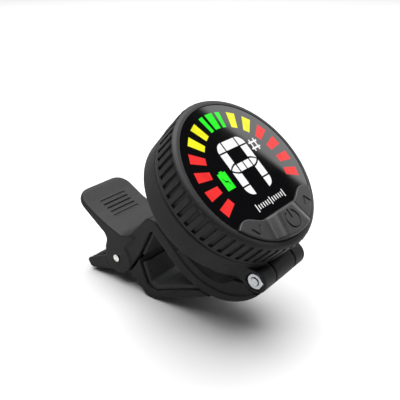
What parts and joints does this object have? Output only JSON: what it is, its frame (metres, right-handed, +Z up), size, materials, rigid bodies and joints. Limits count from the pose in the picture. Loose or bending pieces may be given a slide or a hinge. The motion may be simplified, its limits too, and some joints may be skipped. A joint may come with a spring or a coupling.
{
  "type": "clip-on instrument tuner",
  "caption": "Clip-on tuner with a round rotating lit display head, a swivel base on a tilt hinge and a sprung clip with rubber-lined jaws.",
  "frame": {"origin": "centre of the box's underside, on the surface that the tuner lies on", "axes": "+X from the thumb paddle towards the display's lower edge and tilt hinge, +Y to the right of the display, +Z up"},
  "size_m": [0.0704, 0.0422, 0.0567],
  "materials": {
    "black_abs": "fine matt moulded grain",
    "key_rubber": "smooth matt silicone keys",
    "display_window": "polished smoked acrylic",
    "green_light": "lit window",
    "yellow_light": "lit window",
    "red_light": "lit window",
    "white_light": "lit window",
    "white_mask": "plain moulding",
    "board_laminate": "solder resist",
    "chip_epoxy": "clear epoxy",
    "tinned_steel": "bright tin plate",
    "battery_foil": "foil pouch",
    "brass_disc": "rolled disc",
    "zinc_steel": "bright zinc plate",
    "nylon_washer": "plain moulded washer",
    "pad_rubber": "soft matt rubber",
    "bright_pin": "polished end, slightly dished",
    "spring_wire": "drawn music wire"
  },
  "bodies": {
    "clip_upper": {"upper_jaw": "black_abs", "upper_pad": "pad_rubber", "pivot_pin": "bright_pin", "torsion_spring": "spring_wire"},
    "clip_lower": {"lower_jaw": "black_abs", "lower_pad": "pad_rubber"},
    "swivel_base": {"base_ring": "black_abs", "hinge_screw": "zinc_steel", "hinge_nut": "zinc_steel", "hinge_washers": "nylon_washer"},
    "head": {"front_housing": "black_abs", "back_cover": "black_abs", "housing_screws": "zinc_steel", "lens": "display_window", "light_mask": "white_mask", "green_bars": "green_light", "yellow_bars": "yellow_light", "red_bars": "red_light", "note_segments": "white_light", "sharp_sign": "white_light", "battery_icon": "green_light", "circuit_board": "board_laminate", "led_chips": "chip_epoxy", "key_switches": "tinned_steel", "usb_socket": "tinned_steel", "battery": "battery_foil", "piezo_disc": "brass_disc", "swivel_screw": "zinc_steel", "swivel_washer": "zinc_steel"},
    "down_key": {"key_down": "key_rubber"},
    "power_key": {"key_power": "key_rubber"},
    "up_key": {"key_up_note": "key_rubber"}
  },
  "joints": [
    {"name": "clip_open", "type": "hinge", "parent": "clip_upper", "child": "clip_lower", "pos_m": [-0.01876, 0, 0.00876], "axis": [0, 1, 0], "range_deg": [0, 30], "stiffness_Nm_per_rad": 0.15, "springref_deg": -45.84, "deforming": ["torsion_spring"]},
    {"name": "tilt", "type": "hinge", "parent": "clip_upper", "child": "swivel_base", "pos_m": [0.02858, 0, 0.0194], "axis": [0, 1, 0], "range_deg": [0, 120]},
    {"name": "swivel", "type": "hinge", "parent": "swivel_base", "child": "head", "pos_m": [0.01227, 0, 0.0348], "axis": [0.6807, 0, 0.7325], "continuous": true},
    {"name": "down_press", "type": "slide", "parent": "head", "child": "down_key", "axis": [-0.6807, 0, -0.7325], "range_m": [0, 0.00035], "stiffness_N_per_m": 1500, "springref_m": -0.0003},
    {"name": "power_press", "type": "slide", "parent": "head", "child": "power_key", "axis": [-0.6807, 0, -0.7325], "range_m": [0, 0.00035], "stiffness_N_per_m": 1500, "springref_m": -0.0003},
    {"name": "up_press", "type": "slide", "parent": "head", "child": "up_key", "axis": [-0.6807, 0, -0.7325], "range_m": [0, 0.00035], "stiffness_N_per_m": 1500, "springref_m": -0.0003}
  ]
}
